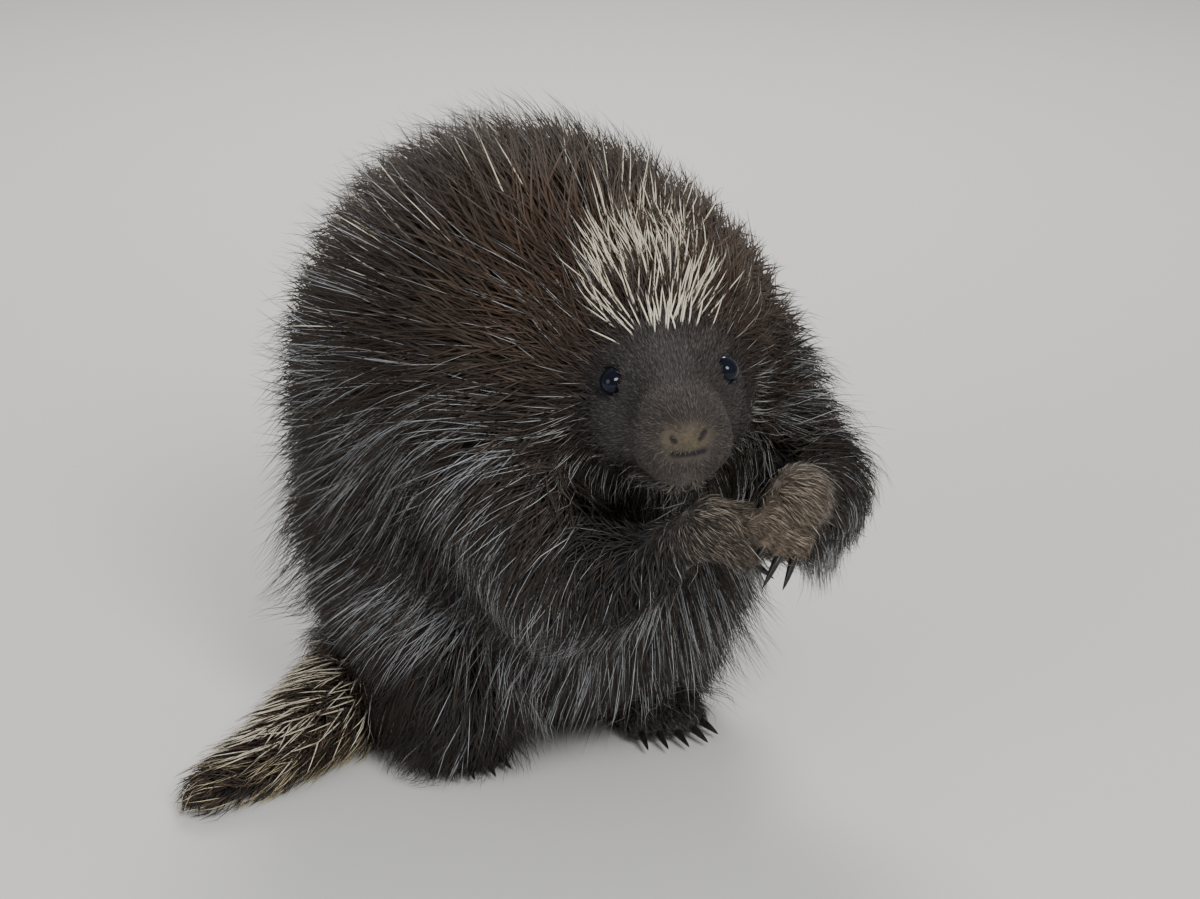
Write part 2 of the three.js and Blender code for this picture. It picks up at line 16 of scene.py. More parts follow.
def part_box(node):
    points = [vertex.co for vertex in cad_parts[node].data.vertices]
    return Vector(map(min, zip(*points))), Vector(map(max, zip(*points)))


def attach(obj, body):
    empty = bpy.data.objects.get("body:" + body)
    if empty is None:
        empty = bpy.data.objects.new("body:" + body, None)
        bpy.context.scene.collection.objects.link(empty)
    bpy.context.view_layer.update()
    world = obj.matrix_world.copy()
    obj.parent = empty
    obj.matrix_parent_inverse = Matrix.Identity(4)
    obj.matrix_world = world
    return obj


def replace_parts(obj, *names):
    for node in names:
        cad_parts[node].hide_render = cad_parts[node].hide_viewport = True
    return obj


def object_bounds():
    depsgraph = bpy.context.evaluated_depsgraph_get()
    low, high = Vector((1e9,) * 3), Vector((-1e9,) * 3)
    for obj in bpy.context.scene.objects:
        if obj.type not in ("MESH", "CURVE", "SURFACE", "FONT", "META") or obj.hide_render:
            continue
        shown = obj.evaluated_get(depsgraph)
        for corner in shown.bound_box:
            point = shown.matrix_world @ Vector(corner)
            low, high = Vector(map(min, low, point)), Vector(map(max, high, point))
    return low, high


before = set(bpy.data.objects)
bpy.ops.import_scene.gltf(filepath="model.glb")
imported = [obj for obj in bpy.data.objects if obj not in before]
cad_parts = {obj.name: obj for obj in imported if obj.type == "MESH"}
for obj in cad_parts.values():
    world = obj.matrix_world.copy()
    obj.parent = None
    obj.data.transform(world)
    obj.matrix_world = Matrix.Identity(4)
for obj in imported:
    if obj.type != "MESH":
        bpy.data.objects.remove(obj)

solids_box = [list(corner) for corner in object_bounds()]
print("solids' box in metres:", solids_box)

# %% [markdown]
# ## Where the animal is
# The body is described in millimetres, in the same place as the solids were drawn: the trunk
# faces -Y and the animal's left is +X. The head has a frame of its own, x to its left, y
# backwards and z up, so that a left and a right feature differ only in the sign of x. The
# solids were centred afterwards, so the eyeballs tell how far everything was moved.

# %% The head's frame and the move to the solids' place
HEAD_PLACE = (2.6, -82.3, 233.0)
HEAD_TURN = Euler((math.radians(2), math.radians(-3.5), math.radians(-22)), "XYZ")
head_frame = Matrix.Translation(HEAD_PLACE) @ HEAD_TURN.to_matrix().to_4x4()


def in_head(x, y, z):
    """A point of the head's frame, in the body's millimetres."""
    return np.array(head_frame @ Vector((x, y, z)))


EYE_PLACE = (25.5, -9.5, 2.5)
EYE_RADIUS = 7.0
eye_box = np.array([list(corner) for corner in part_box("eye_left")]) * 1000
SHIFT = eye_box.mean(0) - in_head(*EYE_PLACE)
print("the solids lie", SHIFT.round(2), "mm from where the body is described")


def to_metres(points):
    """Body millimetres to the frame's metres."""
    return (np.asarray(points) + SHIFT) / 1000


def places_of(verts):
    """Where vertices are, in body millimetres."""
    return np.array([vert.co for vert in verts]) * 1000 - SHIFT


# %% [markdown]
# ## The body as distance fields
# A field gives how far a point lies outside a form, so two forms can be blended softly and
# the coat can tell how high above the skin it is. Each mass of flesh is an egg, and each
# limb a row of rounded cones. The numbers are those of the solids, with arms and tail a little
# slimmer, which keeps the skin inside them by the depth of the coat.

# %% Fields of eggs and limbs
def egg(p, centre, radii):
    """Distance from points to an egg-shaped mass, roughly, negative inside."""
    q = (p - np.asarray(centre, float)) / np.asarray(radii, float)
    k0 = np.linalg.norm(q, axis=1)
    k1 = np.linalg.norm(q / np.asarray(radii, float), axis=1)
    return k0 * (k0 - 1) / np.maximum(k1, 1e-6)


def soft_union(a, b, reach):
    """Two fields joined with a fillet about as wide as the reach."""
    h = np.clip(0.5 + 0.5 * (b - a) / reach, 0, 1)
    return b + (a - b) * h - reach * h * (1 - h)


def in_head_frame(p):
    """Points of the body in the head's own frame."""
    back = np.array(head_frame.inverted())
    return p @ back[:3, :3].T + back[:3, 3]


def eggs_field(reach, eggs, on_head=False):
    """The field of several blended eggs given as (centre, radii)."""
    def field(p):
        q = in_head_frame(p) if on_head else p
        total = egg(q, *eggs[0])
        for one in eggs[1:]:
            total = soft_union(total, egg(q, *one), reach)
        return total

    return field


def limb_field(stations):
    """The field of a limb through stations of (point, radius)."""
    def field(p):
        total = None
        for (a, ra), (b, rb) in zip(stations, stations[1:]):
            a, b = np.asarray(a, float), np.asarray(b, float)
            t = np.clip((p - a) @ (b - a) / ((b - a) @ (b - a)), 0, 1)[:, None]
            one = np.linalg.norm(p - a - t * (b - a), axis=1) - (ra + (rb - ra) * t[:, 0])
            total = one if total is None else np.minimum(total, one)
        return total

    return field


def smoothstep(x, low, high):
    """0 below low, 1 above high and a soft rise between."""
    t = np.clip((x - low) / (high - low), 0, 1)
    return t * t * (3 - 2 * t)


def unit(v):
    """Vectors made one long."""
    v = np.asarray(v, float)
    return v / np.maximum(np.linalg.norm(v, axis=-1, keepdims=True), 1e-9)


# %% The masses of the body, in millimetres
TORSO = [((6, 86, 78), (76, 68, 80)), ((0, 64, 184), (82, 92, 104)),
         ((20, 0, 198), (76, 60, 78)), ((12, 14, 112), (56, 48, 72))]
NECK = [((20, -34, 232), (50, 44, 44)), ((18, -26, 204), (54, 42, 46))]
HEAD = [((0, 24, 2), (33, 42, 29)), ((0, -2, -2), (29, 26, 23)), ((0, -28, -11), (20, 26, 18)),
        ((0, -41, -12), (17, 14, 14)), ((9, -42, -21), (11, 12, 9)),
        ((-9, -42, -21), (11, 12, 9)), ((19, 5, -20), (17, 27, 20)),
        ((-19, 5, -20), (17, 27, 20)), ((0, -24, -30), (14, 22, 10)),
        ((0, 18, -24), (24, 28, 18))]
THIGH_RIGHT = [((-39, 100, 74), (37, 44, 48)), ((-51, 62, 58), (34, 42, 48)),
               ((-56, 32, 48), (25, 34, 38))]
THIGH_LEFT = [((45, 100, 74), (37, 44, 48)), ((57, 62, 58), (34, 42, 48)),
              ((62, 32, 48), (25, 34, 38))]
ARM_RIGHT = [((-44, -8, 176), 32), ((-38, -56, 132), 19), ((-14, -88, 143), 13),
             ((9, -107, 163), 8)]
ARM_LEFT = [((72, -16, 188), 32), ((96, -62, 150), 19), ((81, -92, 158), 15),
            ((60, -112, 172), 10)]
TAIL = [((-10, 138, 34), 30), ((-64, 104, 24), 21), ((-112, 70, 18), 17), ((-156, 50, 11), 11),
        ((-190, 40, 6.5), 5.5)]

# %% [markdown]
# ## Paws
# A forepaw has four toes and a hind foot five, each with a long claw. Their joints are
# worked out once from the wrist and the palm, and serve the skin and the claws alike.

# %% Toes and claws
CLAW_LENGTH = 17.0
TOE_REACH = (0.8, 1.04, 1.0, 0.86, 0.7)
FOREPAW = dict(toes=4, across=13.0, toe_radius=3.5, size=(14.0, 11.0), curl=5.0)
HINDFOOT = dict(toes=5, across=24.0, toe_radius=4.6, size=(17.0, 11.0), curl=3.0)
PAWS = {
    "forepaw_right": dict(wrist=(8, -108, 164), palm=(18, -112, 161), up=(-0.1, -0.75, 0.65),
                          **FOREPAW),
    "forepaw_left": dict(wrist=(57, -115, 173), palm=(47, -121, 164), up=(0.1, -0.8, 0.6),
                         **FOREPAW),
    "hindfoot_right": dict(wrist=(-46, 74, 11), palm=(-55, 30, 10), up=(0, 0, 1), **HINDFOOT),
    "hindfoot_left": dict(wrist=(52, 54, 11), palm=(52, 8, 10), up=(0, 0, 1), **HINDFOOT),
}


def palm_stations(paw):
    """The palm as a short limb, from the wrist to the roots of the toes."""
    radius = sum(paw["size"]) / 2
    wrist, palm = np.array(paw["wrist"], float), np.array(paw["palm"], float)
    back_off = unit(palm - wrist) * radius * 0.6
    return [(wrist + back_off * 0.4, radius * 0.95), (palm - back_off, radius * 0.9)]


def toe_joints(paw):
    """For each toe: its root, knuckle and tip, and the directions ahead and up."""
    wrist, palm, up = (np.array(paw[key], float) for key in ("wrist", "palm", "up"))
    up, ahead = unit(up), unit(palm - wrist)
    side = unit(np.cross(ahead, up))
    joints = []
    for i in range(paw["toes"]):
        share = i / (paw["toes"] - 1) - 0.5
        root = palm - ahead * paw["size"][0] * 0.9 + side * share * paw["across"] * 0.8
        spread = unit(ahead + side * share * 0.5)
        knuckle = root + spread * paw["size"][0] * (0.9 + 0.6 * TOE_REACH[i])
        tip = knuckle + spread * paw["toe_radius"] * 2 * TOE_REACH[i] - up * paw["curl"] * 0.5
        joints.append((root, knuckle, tip, spread, up))
    return joints


def paw_field(paw):
    """The field of a palm and its toes."""
    r = paw["toe_radius"]
    fields = [limb_field(palm_stations(paw))]
    for root, knuckle, tip, _, _ in toe_joints(paw):
        fields.append(limb_field([(root, r * 1.1), (knuckle, r), (tip, r * 0.8)]))

    def field(p):
        total = fields[0](p)
        for one in fields[1:]:
            total = soft_union(total, one(p), 2.5)
        return total

    return field


# %% The parts' fields and the whole body's
PARTS = {
    "head": eggs_field(12, HEAD, True), "neck": eggs_field(20, NECK),
    "torso": eggs_field(40, TORSO), "thigh_right": eggs_field(15, THIGH_RIGHT),
    "thigh_left": eggs_field(15, THIGH_LEFT), "arm_right": limb_field(ARM_RIGHT),
    "arm_left": limb_field(ARM_LEFT), "tail": limb_field(TAIL),
    "forepaw_right": paw_field(PAWS["forepaw_right"]),
    "forepaw_left": paw_field(PAWS["forepaw_left"]),
    "hindfoot_right": paw_field(PAWS["hindfoot_right"]),
    "hindfoot_left": paw_field(PAWS["hindfoot_left"]),
}
PART_NAMES = list(PARTS)
BLEND = 3.5


def part_distances(p):
    """Each part's own field at the points, one row a part."""
    return np.stack([field(p) for field in PARTS.values()])


def body_field(p):
    """The whole body's field, its parts blended where they meet."""
    rows = part_distances(p)
    low = rows.min(0)
    return low - BLEND * np.log(np.exp(-(rows - low) / BLEND).sum(0))


def slope(field, p, reach=0.6):
    """The field's value and its outward direction at the points."""
    value = field(p)
    grad = np.stack([field(p + np.eye(3)[k] * reach) - value for k in range(3)], 1)
    return value, unit(grad)


probe = np.array([in_head(0, -60, -10), [6, 45, 150.0]])
print("field at the nose and inside the trunk:", body_field(probe).round(1))

# %% [markdown]
# ## The face
# The mouth is a short groove, the nostrils are slits that slant, the ears are shallow cups
# almost lost in the coat, and a rim of lid runs round each eye. All of them are added to the
# body's field or cut from it, so the skin bends into them.

# %% Features of the face
FACE, FACE_REACH = in_head(0, -20, -8), 110
MUZZLE = in_head(0, -30, -12)
NOSE_TIP = in_head(0, -62, -14)


def on_face(centre, direction, rise=0.5):
    """The point where a ray from inside the head leaves its surface."""
    start = in_head(*centre)
    way = np.array(head_frame.to_3x3() @ Vector(direction).normalized())
    reach = np.arange(0, 70, 0.1)
    points = start + way * reach[:, None]
    return points[np.argmax(PARTS["head"](points) > rise)]


def mirrored(side, point):
    """A point of the head's frame on its left (1) or right (-1)."""
    return (side * point[0], point[1], point[2])


mouth = [on_face((0, -36, -17.5), (math.sin(a), -math.cos(a), 0.14 * (1 - math.cos(2 * a))))
         for a in np.radians((-18, -12, -6, 0, 6, 12, 18))]
nostrils = []
for side in (1, -1):
    at = on_face((0, -40, -9), (side * 0.40, -1, -0.02))
    nostrils.append([(at + (side * 1.6, 0, 1.3), 1.3), (at - (side * 1.0, 0, 1.6), 0.8)])
LID_OUT, LID_RADIUS, LID_THICK = 4.1, EYE_RADIUS - 1.7, 1.9
eyes = {side: in_head(*mirrored(side, EYE_PLACE)) for side in (1, -1)}
facing = {side: np.array(head_frame.to_3x3() @ Vector((side, -0.95, 0.12)).normalized())
          for side in (1, -1)}
EAR, EAR_RADII, HOLLOW, HOLLOW_RADII = (33, 37, 15), (6, 10, 14), (37, 33, 17), (5, 7, 10)
groove = limb_field([(point, 1.1) for point in mouth])
slits = [limb_field(slit) for slit in nostrils]
ear_leaves = [eggs_field(1, [(mirrored(side, EAR), EAR_RADII)], True) for side in (1, -1)]
ear_cups = [eggs_field(1, [(mirrored(side, HOLLOW), HOLLOW_RADII)], True) for side in (1, -1)]


def ring(p, centre, axis, radius, thick):
    """The field of a ring, such as the rim of the eyelids."""
    d = p - centre
    along = d @ axis
    across = np.linalg.norm(d - along[:, None] * axis, axis=1) - radius
    return np.hypot(across, along) - thick


def carve(a, tool, reach):
    """A field with a tool cut out of it, its edge rounded."""
    return -soft_union(-a, tool, reach)


def skin_field(p):
    """The body with its ears, lids, mouth and nostrils."""
    total = body_field(p)
    near = np.linalg.norm(p - FACE, axis=1) < FACE_REACH
    q = p[near]
    part = total[near]
    for leaf, cup in zip(ear_leaves, ear_cups):
        part = soft_union(part, carve(leaf(q), cup(q), 1.5), 2)
    for side in (1, -1):
        rim = ring(q, eyes[side] + facing[side] * LID_OUT, facing[side], LID_RADIUS, LID_THICK)
        part = soft_union(part, rim, 2.2)
        part = carve(part, np.linalg.norm(q - eyes[side], axis=1) - EYE_RADIUS + 0.1, 0.4)
    part = carve(part, groove(q), 1.4)
    for slit in slits:
        part = carve(part, slit(q), 1.2)
    total[near] = part
    return total


print("the mouth is", round(float(np.linalg.norm(mouth[0] - mouth[-1])), 1), "mm wide")

# %% [markdown]
# ## How deep the coat is and how it lies
# The coat is shortest on the face, short on the paws and deepest on the back, and it sweeps
# away from the muzzle, more and more downwards low on the body. Each part has a depth and a
# direction, and a point takes a soft mixture of those near it, so no border shows.

# %% Depth and direction of the coat
TAIL_TIP = np.array(TAIL[-1][0], float) + (-60, -12, 0)


def off_face(p):
    """0 on the face and 1 on the body."""
    return smoothstep(np.linalg.norm(p - FACE, axis=1), 32, 108)


def off_mask(p):
    """0 on the short velvet between eyes and chin, 1 past the brow and the cheeks."""
    q = (in_head_frame(p) - (0, -34, -6)) / (30, 44, 30)
    return smoothstep(np.linalg.norm(q, axis=1), 0.95, 2.0)


def zone(p, centre, reach, soft):
    """1 within a reach of a point, falling to 0 over a soft edge."""
    return 1 - smoothstep(np.linalg.norm(p - centre, axis=1), reach, reach + soft)


def part_weights(p, softness=5.0):
    """How much each part counts at a point, adding up to one."""
    rows = part_distances(p)
    weights = np.exp(-(rows - rows.min(0)) / softness)
    return weights / weights.sum(0)


def mixed(weights, values):
    """A mixture of the parts' values, given by the start of a part's name."""
    rows = [next(v for key, v in values.items() if name.startswith(key)) for name in PART_NAMES]
    rows = [np.broadcast_to(v, weights.shape[1:] + np.shape(v)[1:]) for v in rows]
    shape = (slice(None), slice(None)) + (None,) * (rows[0].ndim - 1)
    return (weights[shape] * np.stack(rows)).sum(0)


def coat_depth(p, weights):
    """From the skin to the tips of the long hair, in millimetres."""
    away = off_face(p)
    height = smoothstep(p[:, 2], 20, 170)
    beard = 9 * zone(p, in_head(0, -34, -36), 9, 12)
    wrist = np.minimum(np.linalg.norm(p - ARM_RIGHT[-1][0], axis=1),
                       np.linalg.norm(p - ARM_LEFT[-1][0], axis=1))
    return mixed(weights, {
        "head": 3.2 + 17 * off_mask(p) + beard, "neck": 40 * away,
        "torso": (16 + 33 * height) * away, "thigh": 22.0, "tail": 13.0,
        "arm": 6 + 20.0 * smoothstep(wrist, 8, 60), "hindfoot": 5.0, "forepaw": 6.0,
    })


def lie_of_coat(p, weights):
    """The direction in which the coat sweeps over the body."""
    body = unit(p - MUZZLE)
    body[:, 2] -= 0.05 + 1.15 * smoothstep(290 - p[:, 2], 0, 260)
    body = unit(body)
    down = np.array([0, 0, -1.0])

    def everywhere(direction):
        return np.broadcast_to(unit(direction), p.shape)

    def ahead(name):
        return everywhere(np.subtract(PAWS[name]["palm"], PAWS[name]["wrist"]))

    return unit(mixed(weights, {
        "head": unit(p - NOSE_TIP + down * 6), "neck": body, "torso": body, "thigh": body,
        "arm": unit(body + down * 0.15), "tail": unit(TAIL_TIP - p),
        "forepaw_right": everywhere((0.85, -0.45, -0.25)),
        "forepaw_left": everywhere((0.75, -0.30, -0.60)),
        "hindfoot_right": ahead("hindfoot_right"), "hindfoot_left": ahead("hindfoot_left"),
    }))


# %% [markdown]
# ## The skin
# Icospheres are set along every mass and melted together by a voxel remesh, which gives one
# closed skin with even faces. The paws are then divided once and the face twice, and each
# vertex is moved along the field's slope until it lies on it, which is how the lips, lids and
# toes come out sharp.

# %% Rough skin from icospheres
ROUGH_VOXEL = 0.0026
rough = bmesh.new()


def add_ball(centre, radii, frame_matrix=Matrix.Identity(4)):
    """An icosphere stretched to an egg, in metres."""
    place = frame_matrix @ Matrix.Translation(centre) @ Matrix.Diagonal((*radii, 1))
    to_place = Matrix.Scale(0.001, 4) @ Matrix.Translation(SHIFT)
    bmesh.ops.create_icosphere(rough, subdivisions=3, radius=1, matrix=to_place @ place)


def add_row(stations):
    """Balls closely spaced along a limb."""
    for (a, ra), (b, rb) in zip(stations, stations[1:]):
        a, b = np.array(a, float), np.array(b, float)
        steps = max(2, int(np.linalg.norm(b - a) / (0.35 * min(ra, rb))) + 1)
        for t in np.linspace(0, 1, steps):
            add_ball(a + (b - a) * t, [ra + (rb - ra) * t] * 3)


for centre, radii in TORSO + NECK + THIGH_RIGHT + THIGH_LEFT:
    add_ball(centre, radii)
for centre, radii in HEAD + [(mirrored(side, EAR), EAR_RADII) for side in (1, -1)]:
    add_ball(centre, radii, head_frame)
for row in (ARM_RIGHT, ARM_LEFT, TAIL):
    add_row(row)
for paw in PAWS.values():
    add_row(palm_stations(paw))
    for root, knuckle, tip, _, _ in toe_joints(paw):
        add_row([(root, paw["toe_radius"]), (knuckle, paw["toe_radius"]),
                 (tip, paw["toe_radius"] * 0.8)])


def as_object(name, mesh):
    """A mesh as an object of the scene."""
    made = bpy.data.objects.new(name, mesh)
    bpy.context.scene.collection.objects.link(made)
    return made


rough_mesh = bpy.data.meshes.new("rough_skin")
rough.to_mesh(rough_mesh)
rough.free()
rough_skin = as_object("rough_skin", rough_mesh)
remesh = rough_skin.modifiers.new("melt", "REMESH")
remesh.mode = "VOXEL"
remesh.voxel_size = ROUGH_VOXEL
melted = bpy.data.meshes.new_from_object(
    rough_skin.evaluated_get(bpy.context.evaluated_depsgraph_get()))
bpy.data.objects.remove(rough_skin)
print("rough skin:", len(melted.polygons), "faces")

# %% Finer faces where the face and paws are, and every vertex on the field
skin_bm = bmesh.new()
skin_bm.from_mesh(melted)


def divide_near(bm, near):
    """Divides the faces whose middles are near, in body millimetres."""
    middles = np.array([face.calc_center_median() for face in bm.faces]) * 1000 - SHIFT
    chosen = near(middles)
    edges = {edge for face, take in zip(bm.faces, chosen) if take for edge in face.edges}
    bmesh.ops.subdivide_edges(bm, edges=list(edges), cuts=1, use_grid_fill=True)


def near_face(p, reach):
    """Which points are near the face."""
    return np.linalg.norm(p - in_head(0, -24, -8), axis=1) < reach


def near_toes(p):
    """Which points are near the tips of the toes."""
    tips = np.array([joint[2] for paw in PAWS.values() for joint in toe_joints(paw)])
    return (np.linalg.norm(p[:, None] - tips, axis=2) < 14).any(1)


divide_near(skin_bm, lambda p: near_face(p, 52) | near_toes(p))
divide_near(skin_bm, lambda p: near_face(p, 46))
bmesh.ops.triangulate(skin_bm, faces=[face for face in skin_bm.faces if len(face.verts) > 4])
points = places_of(skin_bm.verts)
TURNS, SMOOTHED_AFTER, MOST_STEP, LOWEST = 7, 2, 1.5, 0.2


def place_points():
    """Puts the skin's vertices where their points are."""
    for vert, point in zip(skin_bm.verts, to_metres(points)):
        vert.co = point


for turn in range(TURNS):
    value, out = slope(skin_field, points, 0.3)
    points -= out * np.clip(value, -MOST_STEP, MOST_STEP)[:, None] * (0.9 if turn else 0.6)
    if turn == SMOOTHED_AFTER:
        place_points()
        bmesh.ops.smooth_vert(skin_bm, verts=skin_bm.verts, factor=0.5, use_axis_x=True,
                              use_axis_y=True, use_axis_z=True)
        points = places_of(skin_bm.verts)
points[:, 2] = np.maximum(points[:, 2], LOWEST)
place_points()
for face in skin_bm.faces:
    face.smooth = True
bmesh.ops.recalc_face_normals(skin_bm, faces=skin_bm.faces)
skin_mesh = bpy.data.meshes.new("skin")
skin_bm.to_mesh(skin_mesh)
skin_bm.free()
skin = as_object("skin", skin_mesh)
print("skin:", len(skin_mesh.polygons), "faces, off the field by",
      float(np.abs(skin_field(points)).mean().round(3)), "mm on average")

# %% [markdown]
# ## A map of the skin
# The skin is unwrapped by its own shape into a flat map named OFBake. Every hair later takes a
# tiny patch of that map at its root.

# %% Unwrap
bpy.context.view_layer.objects.active = skin
skin.select_set(True)
skin_mesh.uv_layers.new(name="OFBake")
bpy.ops.object.mode_set(mode="EDIT")
bpy.ops.mesh.select_all(action="SELECT")
bpy.ops.uv.smart_project(angle_limit=math.radians(66), island_margin=0.001)
bpy.ops.object.mode_set(mode="OBJECT")
print("unwrapped", len(skin_mesh.uv_layers["OFBake"].uv), "corners")

# %% [markdown]
# ## Markings
# Skin and hair share their colours, so one function gives them for any point: velvety grey
# brown on the face with an olive nose pad, near black wool on the body, warmer brown beside
# the crown, and a beige left forepaw. Light and shade are painted in too: a pale bluish sheen
# along the top of the snout, and painted shade in the dips beside the muzzle and along the
# mouth and nostrils. Two more say how many of the hairs at a point end pale, and whether in
# silver or in straw.

# %% Colours at a point
WOOL = np.array([0.019, 0.015, 0.013])
TOP_WOOL = np.array([0.034, 0.023, 0.017])
FACE_FUR = np.array([0.036, 0.031, 0.031])
# The paler bluish colour for the top of the snout is a painted sheen, not the fur's own colour.
BRIDGE_SHEEN_COLOUR = np.array([0.070, 0.064, 0.068])
MUZZLE_FUR = np.array([0.055, 0.045, 0.039])
NOSE_PAD = np.array([0.085, 0.071, 0.043])
DARK = np.array([0.012, 0.010, 0.010])
CHIN = np.array([0.190, 0.175, 0.150])
WARM = np.array([0.085, 0.050, 0.030])
PAW_FUR = np.array([0.150, 0.118, 0.088])
BELLY = np.array([0.028, 0.028, 0.031])


def nose_zone(p):
    """The pad of the nose, above and between the nostrils and down to the lips."""
    q = (in_head_frame(p) - (0, -54, -11)) / (12, 9, 8)
    return 1 - smoothstep(np.linalg.norm(q, axis=1), 0.55, 1.25)


def near_line(p, fields, reach):
    """1 along the mouth and the nostrils."""
    return 1 - smoothstep(np.min([field(p) for field in fields], axis=0), 0.2, reach)


def markings(p, weights):
    """The colour of the skin and of the hair near its root."""
    away = off_face(p)[:, None]
    head = mixed(weights, {"head": 1, "": 0})[:, None]
    colour = np.broadcast_to(WOOL, p.shape).copy()
    top = smoothstep(p[:, 2], 170, 270)[:, None]
    colour += (TOP_WOOL - colour) * top * (1 - head)
    chest = (1 - smoothstep(p[:, 2], 120, 200)) * (1 - smoothstep(p[:, 1], -20, 60))
    colour += (BELLY - colour) * chest[:, None]
    colour += (FACE_FUR - colour) * head * (1 - smoothstep(away, 0.0, 0.35))
    colour += (MUZZLE_FUR - colour) * zone(p, in_head(0, -44, -14), 12, 20)[:, None]
    # Painted sheen: a paler bluish strip along the top of the snout stands in for the light it
    # catches.
    painted_bridge_sheen = (in_head_frame(p) - (0, -22, 14)) / (11, 24, 16)
    painted_bridge_sheen = 1 - smoothstep(np.linalg.norm(painted_bridge_sheen, axis=1), 0.4, 1.2)
    colour += (BRIDGE_SHEEN_COLOUR - colour) * painted_bridge_sheen[:, None] * 0.7
    colour += (CHIN - colour) * 0.6 * zone(p, in_head(0, -46, -32), 4, 10)[:, None]
    for side in (1, -1):
        warm = zone(p, in_head(side * 36, 40, 26), 14, 40)[:, None]
        colour += (WARM - colour) * warm * 0.8
        # Painted shade: the dips beside the muzzle are darkened to stand for the shade that falls
        # in them.
        painted_hollow_shade = zone(p, in_head(side * 19, -29, -4), 4, 11)[:, None]
        colour += (DARK * 1.6 - colour) * painted_hollow_shade * 0.85
        colour += (DARK - colour) * zone(p, eyes[side], 8.2, 3.0)[:, None]
    colour += (NOSE_PAD - colour) * nose_zone(p)[:, None] * 0.85
    # Painted shade: the skin turns near black in a thin band along the mouth's groove and inside
    # the nostril slits.
    colour += (DARK * 0.7 - colour) * near_line(p, [groove] + slits, 0.9)[:, None]
    paws = mixed(weights, {"forepaw_left": 1, "forepaw_right": 0.3, "": 0})[:, None]
    return colour + (PAW_FUR - colour) * paws


def pale_share(p, weights):
    """The share of long hairs that end pale."""
    sides = 1 - smoothstep(p[:, 1], -10, 90)
    high = smoothstep(p[:, 2], 30, 110)
    back = smoothstep(p[:, 2], 235, 275) * 0.75
    body = (0.08 + 0.42 * sides * high) * (1 - back)
    low_tail = 1 - smoothstep(p[:, 2], 12, 27)
    return mixed(weights, {
        "head": 0.2 + 0.45 * smoothstep(-in_head_frame(p)[:, 2], -8, 10), "neck": body * 1.15,
        "torso": body, "arm": 0.40, "thigh": 0.09, "tail": 0.12 + 0.8 * low_tail,
        "forepaw": 0.5, "": 0.1,
    })


def straw_share(weights):
    """How yellowish the pale tips are: most on the tail and the paws."""
    return mixed(weights, {"tail": 1, "forepaw": 0.7, "head": 0.3, "": 0.08})


skin_points = places_of(skin_mesh.vertices)
skin_weights = part_weights(skin_points)
skin_colours = markings(skin_points, skin_weights)


def store(mesh, name, kind, values):
    """Keeps a number or a colour for every vertex of a mesh."""
    layer = mesh.attributes.new(name, kind, "POINT")
    field = "color" if kind == "FLOAT_COLOR" else "value"
    layer.data.foreach_set(field, np.ascontiguousarray(values, np.float32).ravel())


def with_alpha(colours):
    """Colours as a colour attribute wants them, with a fourth number."""
    return np.hstack([colours, np.ones((len(colours), 1))])


store(skin_mesh, "mark", "FLOAT_COLOR", with_alpha(skin_colours))
store(skin_mesh, "nose", "FLOAT", nose_zone(skin_points))
print("markings stored for", len(skin_points), "points of the skin")

# %% [markdown]
# ## Shader maths as plain expressions
# Node trees are easier to read as formulas. A small class wraps a socket so that + and *
# add the Math nodes, and one method adds any other node from its type, settings and inputs.

# %% A socket that can be calculated with
class Signal:
    """An output socket of a material, for use in expressions."""

    def __init__(self, paint, socket):
        self.paint, self.socket = paint, socket

    def math(self, operation, first, second):
        return self.paint.node("ShaderNodeMath", [first, second], operation=operation)

    def __add__(self, other):
        return self.math("ADD", self, other)

    def __sub__(self, other):
        return self.math("SUBTRACT", self, other)

    def __rsub__(self, other):
        return self.math("SUBTRACT", other, self)

    def __mul__(self, other):
        return self.math("MULTIPLY", self, other)

    __radd__ = __add__
    __rmul__ = __mul__


